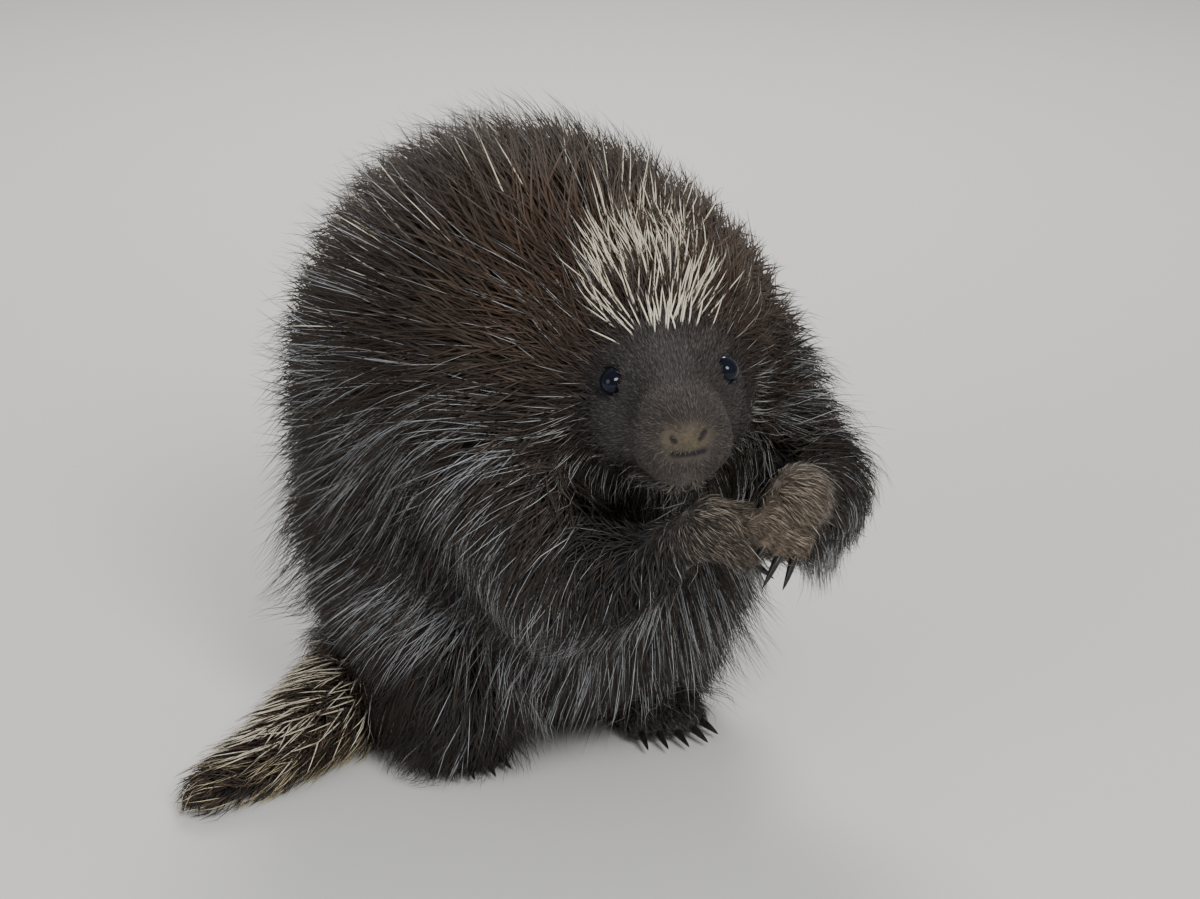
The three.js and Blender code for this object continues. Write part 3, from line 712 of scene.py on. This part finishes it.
class Paint:
    """A material under construction."""

    def __init__(self, name, **constants):
        self.material = bpy.data.materials.new(name)
        self.material.use_nodes = True
        self.tree = self.material.node_tree
        self.shader = self.tree.nodes["Principled BSDF"]
        for socket, value in constants.items():
            self.shader.inputs[socket.replace("_", " ")].default_value = value

    def node(self, kind, values=(), output=0, stops=None, **settings):
        """A node with its settings, then its input values or links by place or by name."""
        made = self.tree.nodes.new(kind)
        for name, value in settings.items():
            setattr(made, name, value)
        if stops:
            while len(made.color_ramp.elements) < len(stops):
                made.color_ramp.elements.new(1.0)
            for element, (position, colour) in zip(made.color_ramp.elements, stops):
                element.position, element.color = position, (*colour, 1)
        pairs = values.items() if isinstance(values, dict) else enumerate(values)
        for key, value in pairs:
            self.feed(made.inputs[key], value)
        return Signal(self, made.outputs[output])

    def feed(self, socket, value):
        """A link from a signal, or a constant."""
        if isinstance(value, Signal):
            self.tree.links.new(value.socket, socket)
        else:
            socket.default_value = value

    def attribute(self, name, output="Fac"):
        return self.node("ShaderNodeAttribute", output=output, attribute_name=name)

    def place(self):
        return self.node("ShaderNodeTexCoord", output="Object")

    def noise(self, scale, detail):
        return self.node("ShaderNodeTexNoise", {"Vector": self.place(), "Scale": scale,
                                                "Detail": detail, "Roughness": 0.55})

    def mix(self, share, first, second, blend="MIX"):
        """Two colours mixed."""
        return self.node("ShaderNodeMix", {0: share, 6: first, 7: second}, output=2,
                         data_type="RGBA", blend_type=blend)

    def ramp(self, share, *stops):
        return self.node("ShaderNodeValToRGB", [share], stops=stops)

    def bump(self, height, strength, distance):
        return self.node("ShaderNodeBump", {"Strength": strength, "Distance": distance,
                                            "Height": height}, output="Normal")

    def finish(self, **links):
        for socket, value in links.items():
            self.feed(self.shader.inputs[socket.replace("_", " ")], value)
        return self.material


# %% [markdown]
# ## Finishes
# The skin is velvety where short fur covers it and smoother and finely pebbled on the nose. Hair
# is dark at its root, and pale or brown towards the tip as two numbers stored on each hair
# say. Quills are ivory with a dark point. The eyes are wet, and the claws dull black horn.

# %% Skin
skin_paint = Paint("skin_velvet", Specular_IOR_Level=0.25, Sheen_Weight=0.25,
                   Sheen_Roughness=0.5)
mark = skin_paint.attribute("mark", "Color")
nose = skin_paint.attribute("nose")
fine = skin_paint.noise(900.0, 2.0)
broad = skin_paint.noise(90.0, 4.0)
shade = skin_paint.ramp(broad * 0.6 + fine * 0.4,
                        (0.3, (0.62, 0.60, 0.60)), (0.7, (1.25, 1.2, 1.15)))
pebbles = skin_paint.node("ShaderNodeTexVoronoi", {"Vector": skin_paint.place(),
                                                   "Scale": 1100.0})
relief = fine * (1 - nose) + pebbles * nose * 0.8
skin_look = skin_paint.finish(Base_Color=skin_paint.mix(1.0, mark, shade, "MULTIPLY"),
                              Roughness=0.8 - nose * 0.3,
                              Normal=skin_paint.bump(relief, 0.5, 0.0006))
skin_mesh.materials.append(skin_look)

# %% Hair, quills, eyes and claws
def hair_look(name, silver, straw, tip_brown, roughness):
    """Hair that is dark at its root and ends in silver, straw or brown."""
    paint = Paint(name, Specular_IOR_Level=0.35)
    along = paint.attribute("along")
    pale = paint.attribute("pale")
    root = paint.attribute("mark", "Color")
    tone = paint.noise(60.0, 2.0)
    pale_tip = paint.mix(paint.attribute("straw"), silver, straw)
    rising = paint.ramp(along, (0.30, (0, 0, 0)), (0.62, (1, 1, 1)))
    edge = paint.ramp(along, (0.55, (0, 0, 0)), (1.0, (1, 1, 1)))
    brown = paint.mix(edge * (1 - pale) * 0.85, root, tip_brown)
    colour = paint.mix(rising * pale, brown, pale_tip)
    return paint.finish(Base_Color=colour, Roughness=roughness + tone * 0.1)


guard_look = hair_look("guard_hair", (0.50, 0.53, 0.57, 1), (0.74, 0.64, 0.42, 1),
                       (0.075, 0.048, 0.032, 1), 0.45)
wool_look = hair_look("underfur", (0.10, 0.075, 0.058, 1), (0.20, 0.14, 0.09, 1),
                      (0.044, 0.029, 0.021, 1), 0.75)
short_look = hair_look("short_fur", (0.30, 0.28, 0.28, 1), (0.44, 0.36, 0.24, 1),
                       (0.075, 0.062, 0.055, 1), 0.6)

quill_paint = Paint("quill", Specular_IOR_Level=0.5)
quill_along = quill_paint.attribute("along")
quill_tone = quill_paint.noise(140.0, 2.0)
ivory = quill_paint.mix(quill_tone, (0.86, 0.82, 0.72, 1), (0.74, 0.64, 0.44, 1))
quill_tip = quill_paint.ramp(quill_along, (0.80, (0, 0, 0)), (0.96, (1, 1, 1)))
quill_look = quill_paint.finish(
    Base_Color=quill_paint.mix(quill_tip, ivory, (0.05, 0.032, 0.022, 1)),
    Roughness=0.3 + quill_tone * 0.15)

claw_paint = Paint("claw_horn", Specular_IOR_Level=0.35)
claw_tone = claw_paint.noise(420.0, 4.0)
claw_look = claw_paint.finish(
    Base_Color=claw_paint.ramp(claw_tone, (0.3, (0.005, 0.005, 0.006)),
                               (0.75, (0.022, 0.020, 0.020))),
    Roughness=0.22 + claw_tone * 0.2, Normal=claw_paint.bump(claw_tone, 0.25, 0.0004))

eye_paint = Paint("wet_eye", Specular_IOR_Level=0.22)
eye_tone = eye_paint.noise(160.0, 3.0)
eye_look = eye_paint.finish(
    Base_Color=eye_paint.ramp(eye_tone, (0.35, (0.002, 0.003, 0.007)),
                              (0.7, (0.006, 0.008, 0.018))),
    Roughness=0.05 + eye_tone * 0.04)
print("made", len(bpy.data.materials), "materials")

# %% [markdown]
# ## Eyes
# The solids' eyeballs are faceted, so rounder ones of the same size and place stand for
# them. The cornea bulges a little, which gathers the light to a small highlight.

# %% Eyeballs
CORNEA_FROM, CORNEA_RISE = 0.55, 0.0016


def finished(bm, name, look):
    """A smooth piece of the animal from its faces, with its finish."""
    for face in bm.faces:
        face.smooth = True
    mesh = bpy.data.meshes.new(name)
    bm.to_mesh(mesh)
    bm.free()
    mesh.materials.append(look)
    made = as_object(name, mesh)
    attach(made, "root")
    return made


def eyeball(side, name):
    """A smooth ball with a low cornea."""
    bm = bmesh.new()
    turn = Vector((0, 0, 1)).rotation_difference(Vector(facing[side])).to_matrix().to_4x4()
    bmesh.ops.create_uvsphere(bm, u_segments=48, v_segments=32, radius=EYE_RADIUS / 1000)
    for vert in bm.verts:
        vert.co.z += CORNEA_RISE * max(0.0, vert.co.z * 1000 / EYE_RADIUS - CORNEA_FROM)
    place = Matrix.Translation(to_metres(eyes[side])) @ turn
    bmesh.ops.transform(bm, matrix=place, verts=bm.verts)
    return finished(bm, name, eye_look)


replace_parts(eyeball(1, "eyeball_left"), "eye_left")
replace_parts(eyeball(-1, "eyeball_right"), "eye_right")
FLESH = [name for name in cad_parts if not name.startswith("eye")]
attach(skin, "root")
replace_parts(skin, *FLESH)
print("the skin stands for", len(FLESH), "solids")

# %% [markdown]
# ## Claws
# Each claw is a ball drawn out into a curved, tapering cone, narrow from side to side and
# sunk into its toe, as on the real foot. All claws of a foot are one piece.

# %% Claws of each foot
CLAW_RADIUS, CLAW_NARROW, CLAW_ROOT = 2.9, 0.72, 3.0


def claws_of(paw, name):
    """The claws of one foot, joined in one mesh."""
    bm = bmesh.new()
    for _, _, tip, spread, up in toe_joints(paw):
        side = unit(np.cross(spread, up))
        made = bmesh.ops.create_uvsphere(bm, u_segments=10, v_segments=14, radius=1)
        for vert in made["verts"]:
            x, y, z = vert.co
            t = (1 - z) / 2
            girth = CLAW_RADIUS * (1 - 0.88 * t ** 2.2)
            round_off = math.hypot(x, y)
            rim = min(1.0, round_off * 1.6)
            centre = tip + spread * (t * (CLAW_LENGTH + CLAW_ROOT) - CLAW_ROOT)
            centre = centre - up * paw["curl"] * 1.2 * t * t
            if round_off > 1e-6:
                centre = centre + side * (x / round_off) * rim * girth * CLAW_NARROW
                centre = centre + up * (y / round_off) * rim * girth
            centre[2] = max(centre[2], 0.3)
            vert.co = to_metres(centre)
    bmesh.ops.recalc_face_normals(bm, faces=bm.faces)
    return finished(bm, name, claw_look)


for name, paw in PAWS.items():
    piece = claws_of(paw, "claws_" + name)
    print(piece.name, len(piece.data.polygons), "faces")

# %% [markdown]
# ## Growing hair
# A hair starts at a point of the skin and takes a few steps along the lie of the coat, while
# it rises from the skin to its own height. Roots are spread by chance over the skin's
# triangles, denser where a weight says so, and none where the body sits on the floor. Each
# hair is a closed, tapering sliver, thousands of them in one mesh made from arrays.

# %% Roots
skin_mesh.calc_loop_triangles()


def read(items, field, kind, width):
    """One field of many elements of a mesh, as an array."""
    values = np.empty(len(items) * width, kind)
    items.foreach_get(field, values)
    return values.reshape(-1, width)


tri_verts = read(skin_mesh.loop_triangles, "vertices", np.int32, 3)
tri_loops = read(skin_mesh.loop_triangles, "loops", np.int32, 3)
tri_uv = read(skin_mesh.uv_layers["OFBake"].uv, "vector", np.float32, 2)[tri_loops]
tri_points = skin_points[tri_verts]
tri_cross = np.cross(tri_points[:, 1] - tri_points[:, 0], tri_points[:, 2] - tri_points[:, 0])
tri_area = np.linalg.norm(tri_cross, axis=1) / 2
tri_middle = tri_points.mean(1)
tri_weights = part_weights(tri_middle)
tri_depth = coat_depth(tri_middle, tri_weights)
tri_head = in_head_frame(tri_middle)
facing_down = unit(tri_cross)[:, 2] < -0.8
SEAT, LOW_SIDE = 6, 30
tri_under = (tri_middle[:, 2] < SEAT) | (facing_down & (tri_middle[:, 2] < LOW_SIDE))
print("skin area", round(float(tri_area.sum()) / 1e6, 3), "square metres")


def spread_roots(count, density, rng):
    """Random points of the skin, their places on the map, parts' weights and coat's depth."""
    share = tri_area * density * ~tri_under
    pick = rng.choice(len(share), count, p=share / share.sum())
    a, b = rng.random(count), rng.random(count)
    flip = a + b > 1
    a[flip], b[flip] = 1 - a[flip], 1 - b[flip]
    weight = np.stack([1 - a - b, a, b], 1)[:, :, None]
    roots, uv = (tri_points[pick] * weight).sum(1), (tri_uv[pick] * weight).sum(1)
    weights = part_weights(roots)
    return roots, uv, weights, coat_depth(roots, weights)


# %% Paths and slivers
def waves(p, length, seed):
    """A smooth random number between -1 and 1 that changes over a length in millimetres."""
    rng = np.random.default_rng(seed)
    total = np.zeros(len(p))
    for _ in range(4):
        total += np.sin(p @ (unit(rng.normal(size=3)) * 2 * np.pi / length) + rng.random() * 6.3)
    return total / 2.5


ROOT_SINK = 0.8


def grow(roots, length, height, steps, rng, stray=0.12, clump=0.25, bend=0.8, hug=0.9, fall=0):
    """The points of each hair from root to tip; hug says how closely it follows the body."""
    weights = part_weights(roots)
    way = lie_of_coat(roots, weights)
    _, out = slope(body_field, roots)
    across = np.cross(out, way)
    turn = clump * (waves(roots, 46, 5) + 0.8 * waves(roots, 15, 6))
    turn += stray * rng.normal(size=len(roots))
    across = unit(across) * turn[:, None]
    stride = (length / steps)[:, None]
    p = roots - out * ROOT_SINK
    path = [p]
    for i in range(1, steps + 1):
        t = i / steps
        lie = unit(way + across + np.array([0, 0, -1.0]) * fall * t)
        flat = unit(lie - (lie * out).sum(1, keepdims=True) * out * hug)
        p = p + flat * stride
        value, out = slope(body_field, p)
        climb = height * t ** bend - value
        p = p + out * np.clip(climb, -hug * stride[:, 0], 0.9 * stride[:, 0])[:, None]
        p[:, 2] = np.maximum(p[:, 2], 0.6 + 1.5 * rng.random(len(p)))
        path.append(p)
    return np.stack(path, 1)


STRAY_SHARE, STRAY_MM = 0.03, 7.5
REACH = np.array(solids_box) * 1000 - SHIFT
REACH += np.array([[-1.0], [1.0]]) * (STRAY_SHARE * (REACH[1] - REACH[0]) + STRAY_MM)


def fair(paths, least=0.5):
    """Which hairs bend softly and stay within the animal's size."""
    way = unit(np.diff(paths, axis=1))
    soft = ((way[:, 1:] * way[:, :-1]).sum(2) > least).all(1)
    return soft & ((paths > REACH[0]) & (paths < REACH[1])).all((1, 2))


PATCH = 0.003


def slivers(name, paths, uv, width, look, slot, profile, sides=3, flat=1.0, **numbers):
    """Closed, tapering slivers along the paths, as one mesh with their places on the map."""
    count, rings = len(paths), paths.shape[1] - 1
    along = unit(np.diff(paths, axis=1, append=2 * paths[:, -1:] - paths[:, -2:-1]))
    _, out = slope(body_field, paths[:, 0])
    side = unit(np.cross(along, out[:, None]))
    up = np.cross(side, along)
    angle = np.arange(sides) * 2 * np.pi / sides
    size = (width[:, None] * np.array([profile]))[:, :, None, None]
    wide = side[:, :-1, None] * np.cos(angle)[:, None]
    thick = up[:, :-1, None] * np.sin(angle)[:, None] * flat
    ring_points = paths[:, :-1, None] + size * (wide + thick)
    verts = np.concatenate([ring_points.reshape(count, -1, 3), paths[:, -1:]], 1)
    verts[..., 2] = np.maximum(verts[..., 2], LOWEST)
    per = verts.shape[1]
    faces = [[0, s + 1, s] for s in range(1, sides - 1)]
    for r in range(rings - 1):
        for s in range(sides):
            a, b = r * sides + s, r * sides + (s + 1) % sides
            faces += [[a, b, b + sides], [a, b + sides, a + sides]]
    faces += [[(rings - 1) * sides + s, (rings - 1) * sides + (s + 1) % sides, per - 1]
              for s in range(sides)]
    faces = np.array(faces)
    corners = (faces[None] + (np.arange(count) * per)[:, None, None]).reshape(-1)
    t = np.append(np.repeat(np.linspace(0, 1, rings + 1)[:-1], sides), 1.0)
    patch = np.stack([np.append(np.tile(np.arange(sides) / sides, rings), 0.5) - 0.5, t - 0.5], 1)
    uvs = uv[:, None] + patch[None] * PATCH
    mesh = bpy.data.meshes.new(name)
    mesh.vertices.add(count * per)
    mesh.vertices.foreach_set("co", to_metres(verts.reshape(-1, 3)).astype(np.float32).ravel())
    mesh.loops.add(len(corners))
    mesh.loops.foreach_set("vertex_index", corners.astype(np.int32))
    mesh.polygons.add(len(corners) // 3)
    mesh.polygons.foreach_set("loop_start", np.arange(0, len(corners), 3, dtype=np.int32))
    mesh.update(calc_edges=True)
    mesh.polygons.foreach_set("use_smooth", np.ones(len(mesh.polygons), bool))
    layer = mesh.uv_layers.new(name="OFBake")
    layer.uv.foreach_set("vector", uvs.reshape(-1, 2)[corners].astype(np.float32).ravel())
    store(mesh, "along", "FLOAT", np.tile(t, count))
    for key, values in numbers.items():
        kind = "FLOAT_COLOR" if values.ndim == 2 else "FLOAT"
        values = with_alpha(values) if values.ndim == 2 else values
        store(mesh, key, kind, np.repeat(values, per, axis=0))
    mesh.materials.append(look)
    piece = as_object(name, mesh)
    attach(piece, "root")
    return len(mesh.polygons)


MOST_FACES = 190_000


def coat(name, paths, uv, width, look, slot, **rest):
    """A layer of the coat, in as many pieces as its size asks for."""
    total = 0
    keep = fair(paths)
    paths, uv, width = paths[keep], uv[keep], width[keep]
    rest = {key: value[keep] if isinstance(value, np.ndarray) else value
            for key, value in rest.items()}
    sides = rest.get("sides", 3)
    each = 2 * sides * (paths.shape[1] - 2) + sides + sides - 2
    pieces = math.ceil(len(paths) * each / MOST_FACES)
    numbers = {key: rest.pop(key) for key in list(rest) if isinstance(rest[key], np.ndarray)}
    for i in range(pieces):
        part = slice(i * len(paths) // pieces, (i + 1) * len(paths) // pieces)
        label = name if pieces == 1 else f"{name}_{i + 1}"
        picked = {key: values[part] for key, values in numbers.items()}
        total += slivers(label, paths[part], uv[part], width[part], look, slot, **rest, **picked)
    print(name, len(paths), "hairs in", pieces, "pieces,", total, "triangles")
    return total


# %% [markdown]
# ## The coat
# It is built as it grows: dense dark wool that hides the skin, long guard hairs over it with
# silver, straw or brown tips, ivory quills on the crown, nape and tail, and fine short fur on
# the face and paws. Long hairs bend together in small clusters, as on the real animal.

# %% Wool
rng = np.random.default_rng(7)
triangles = 0
long_coat = smoothstep(tri_depth, 5, 12)
where = long_coat * (0.5 + 14 / (tri_depth + 6))
roots, uv, weights, depth = spread_roots(64_000, where, rng)
height = depth * rng.uniform(0.40, 0.92, len(roots))
paths = grow(roots, height * 1.25 + 7, height, 2, rng, stray=0.40, clump=0.22)
triangles += coat("wool", paths, uv, rng.uniform(0.55, 1.05, len(roots)) * (0.45 + depth / 70),
                  wool_look, "long_coat", flat=0.5, profile=[1.0, 0.85],
                  mark=markings(roots, weights) * rng.uniform(0.7, 1.3, (len(roots), 1)),
                  pale=np.clip(rng.normal(0.2, 0.3, len(roots)), 0, 1),
                  straw=straw_share(weights))

# %% Guard hairs
where = long_coat * (0.6 + 10 / (tri_depth + 8))
roots, uv, weights, depth = spread_roots(15_500, where, rng)
height = depth * rng.uniform(0.75, 1.15, len(roots))
paths = grow(roots, height * 1.6 + 16, height, 4, rng, stray=0.11, clump=0.26)
streak = 0.35 + 1.4 * smoothstep(waves(roots, 30, 11), -0.5, 1.1)
pale = rng.random(len(roots)) < pale_share(roots, weights) * streak
triangles += coat("guard_hair", paths, uv, rng.uniform(0.17, 0.27, len(roots)), guard_look,
                  "long_coat", profile=[1, 1, 0.85, 0.6], mark=markings(roots, weights) * 0.8,
                  pale=pale * rng.uniform(0.5, 1.0, len(roots)),
                  straw=straw_share(weights))

# %% The long hair that hangs over the chest and arms
front = (1 - smoothstep(tri_middle[:, 1], 0, 60)) * smoothstep(tri_middle[:, 2], 110, 150)
front *= 1 - smoothstep(tri_middle[:, 2], 215, 245)
roots, uv, weights, depth = spread_roots(6_000, front * smoothstep(tri_depth, 6, 16), rng)
height = depth * rng.uniform(0.6, 1.0, len(roots))
paths = grow(roots, rng.uniform(48, 84, len(roots)), height, 4, rng, stray=0.10, clump=0.2,
             hug=0.35, fall=0.9)
pale = rng.random(len(roots)) < 0.55
triangles += coat("chest_hair", paths, uv, rng.uniform(0.17, 0.25, len(roots)), guard_look,
                  "long_coat", profile=[1, 1, 0.9, 0.6],
                  mark=markings(roots, weights) * 0.8, straw=straw_share(weights),
                  pale=pale * rng.uniform(0.4, 0.9, len(roots)))

# %% Quills
brow = smoothstep(tri_head[:, 1], -13, 4) * smoothstep(tri_head[:, 2], 12, 20)
crown = (tri_head - (0, 18, 34)) / (26, 44, 40)
crown = brow * (1 - smoothstep(np.linalg.norm(crown, axis=1), 0.5, 1.15))
crown *= 0.25 + smoothstep(waves(tri_middle, 17, 21), -0.4, 0.8)
behind = smoothstep(tri_head[:, 1], 40, 70)
nape = behind * smoothstep(tri_middle[:, 2], 215, 262) * 0.02
rump = 0.02 * smoothstep(tri_middle[:, 1], 90, 150)
tail_top = tri_weights[PART_NAMES.index("tail")] * smoothstep(tri_middle[:, 2], 16, 30) * 0.3
where = (crown + nape + rump + tail_top) * (tri_depth > 3.5)
roots, uv, weights, depth = spread_roots(1_000, where, rng)
height = depth * rng.uniform(0.7, 1.0, len(roots)) + 3
long = 10 + 14 * smoothstep(in_head_frame(roots)[:, 1], -10, 40)
paths = grow(roots, height * 0.9 + long * rng.uniform(0.7, 1.15, len(roots)), height, 4, rng,
             stray=0.16, clump=0.2, bend=0.9)
triangles += coat("quills", paths, uv, rng.uniform(0.32, 0.50, len(roots)), quill_look,
                  "long_coat", sides=4, profile=[0.7, 1.0, 0.95, 0.6])

# %% Short fur
lines = near_line(tri_middle, [groove] + slits, 2.6)
short = (1 - long_coat) * (1 - 0.5 * nose_zone(tri_middle)) * (1 - lines)
for side in (1, -1):
    short *= 1 - zone(tri_middle, eyes[side] + facing[side] * 3, 7.2, 2.3)
where = short * (0.5 + 6 / (tri_depth + 2))
roots, uv, weights, depth = spread_roots(27_000, where, rng)
height = np.minimum(depth, 9) * rng.uniform(0.2, 0.45, len(roots)) * (1 - 0.6 * nose_zone(roots))
paths = grow(roots, height * 2 + 2, height, 2, rng, stray=0.25, clump=0.15)
triangles += coat("short_fur", paths, uv, rng.uniform(0.17, 0.30, len(roots)), short_look,
                  "face_fur", flat=0.6, profile=[1.0, 0.8],
                  mark=markings(roots, weights) * rng.uniform(0.75, 1.3, (len(roots), 1)),
                  pale=np.clip(rng.normal(0.1, 0.2, len(roots)), 0, 1),
                  straw=straw_share(weights))

# %% Fur of the paws
feet = sum(tri_weights[PART_NAMES.index(name)] for name in PAWS)
tips = np.array([joint[2] + joint[3] * 3 for paw in PAWS.values() for joint in toe_joints(paw)])
clear = smoothstep(np.linalg.norm(tri_middle[:, None] - tips, axis=2).min(1), 5, 12)
roots, uv, weights, depth = spread_roots(8_000, feet * clear, rng)
height = depth * rng.uniform(0.35, 0.8, len(roots))
paths = grow(roots, height * 1.8 + 4, height, 2, rng, stray=0.14, clump=0.2)
triangles += coat("paw_fur", paths, uv, rng.uniform(0.16, 0.28, len(roots)), short_look,
                  "foot_fur", profile=[1.0, 0.8],
                  mark=markings(roots, weights) * rng.uniform(0.6, 1.4, (len(roots), 1)),
                  pale=(rng.random(len(roots)) < pale_share(roots, weights)) * 0.9,
                  straw=straw_share(weights))
print("the coat has", triangles, "triangles")

# %% [markdown]
# ## Floor, light and camera
# The floor and the light are those of a plain studio. The camera looks down at the animal
# from its right front with a long lens, as the photographer did.

# %% Floor
floor_bm = bmesh.new()
bmesh.ops.create_grid(floor_bm, x_segments=1, y_segments=1, size=6)
floor_mesh = bpy.data.meshes.new("floor")
floor_bm.to_mesh(floor_mesh)
floor_bm.free()
floor_paint = Paint("studio_floor", Base_Color=(0.74, 0.73, 0.71, 1), Roughness=0.75,
                    Specular_IOR_Level=0.2)
floor_mesh.materials.append(floor_paint.material)
floor = as_object("floor", floor_mesh)

# %% Light
AIM = (0, 0, 0.17)


def aimed(start, end):
    """The turn of a lamp or a camera that looks from one point to another."""
    return (Vector(end) - Vector(start)).to_track_quat("-Z", "Y").to_euler()


def soft_light(name, place, size, watts, colour):
    """A large soft lamp aimed at the animal."""
    lamp = bpy.data.lights.new(name, "AREA")
    lamp.shape, lamp.size, lamp.energy, lamp.color = "DISK", size, watts, colour
    made = bpy.data.objects.new(name, lamp)
    made.location = place
    made.rotation_euler = aimed(place, AIM)
    bpy.context.scene.collection.objects.link(made)


soft_light("key", (-0.2, -1.9, 1.7), 0.9, 42, (1.0, 0.98, 0.95))
soft_light("fill", (-2.0, -0.6, 1.0), 1.4, 16, (0.93, 0.96, 1.0))
soft_light("rim", (0.9, 1.5, 1.7), 1.0, 34, (1.0, 0.97, 0.93))
world = bpy.data.worlds.new("studio")
bpy.context.scene.world = world
world.use_nodes = True
backdrop = world.node_tree.nodes["Background"]
backdrop.inputs["Color"].default_value = (0.86, 0.89, 0.93, 1)
backdrop.inputs["Strength"].default_value = 0.42
print("lamps:", [item.name for item in bpy.data.lights])

# %% Camera
CAMERA_PLACE = (-647.0, -1145.6, 648.6)
CAMERA_AIM = (10.8, -6.3, 169.8)
camera_data = bpy.data.cameras.new("camera")
camera_data.lens, camera_data.sensor_width = 84.0, 36.0
camera = bpy.data.objects.new("camera", camera_data)
camera.location = to_metres(CAMERA_PLACE)
camera.rotation_euler = aimed(to_metres(CAMERA_PLACE), to_metres(CAMERA_AIM))
bpy.context.scene.collection.objects.link(camera)
bpy.context.scene.camera = camera
print("the camera is at", tuple(round(v, 3) for v in camera.location))

# %% The end
bpy.context.view_layer.update()
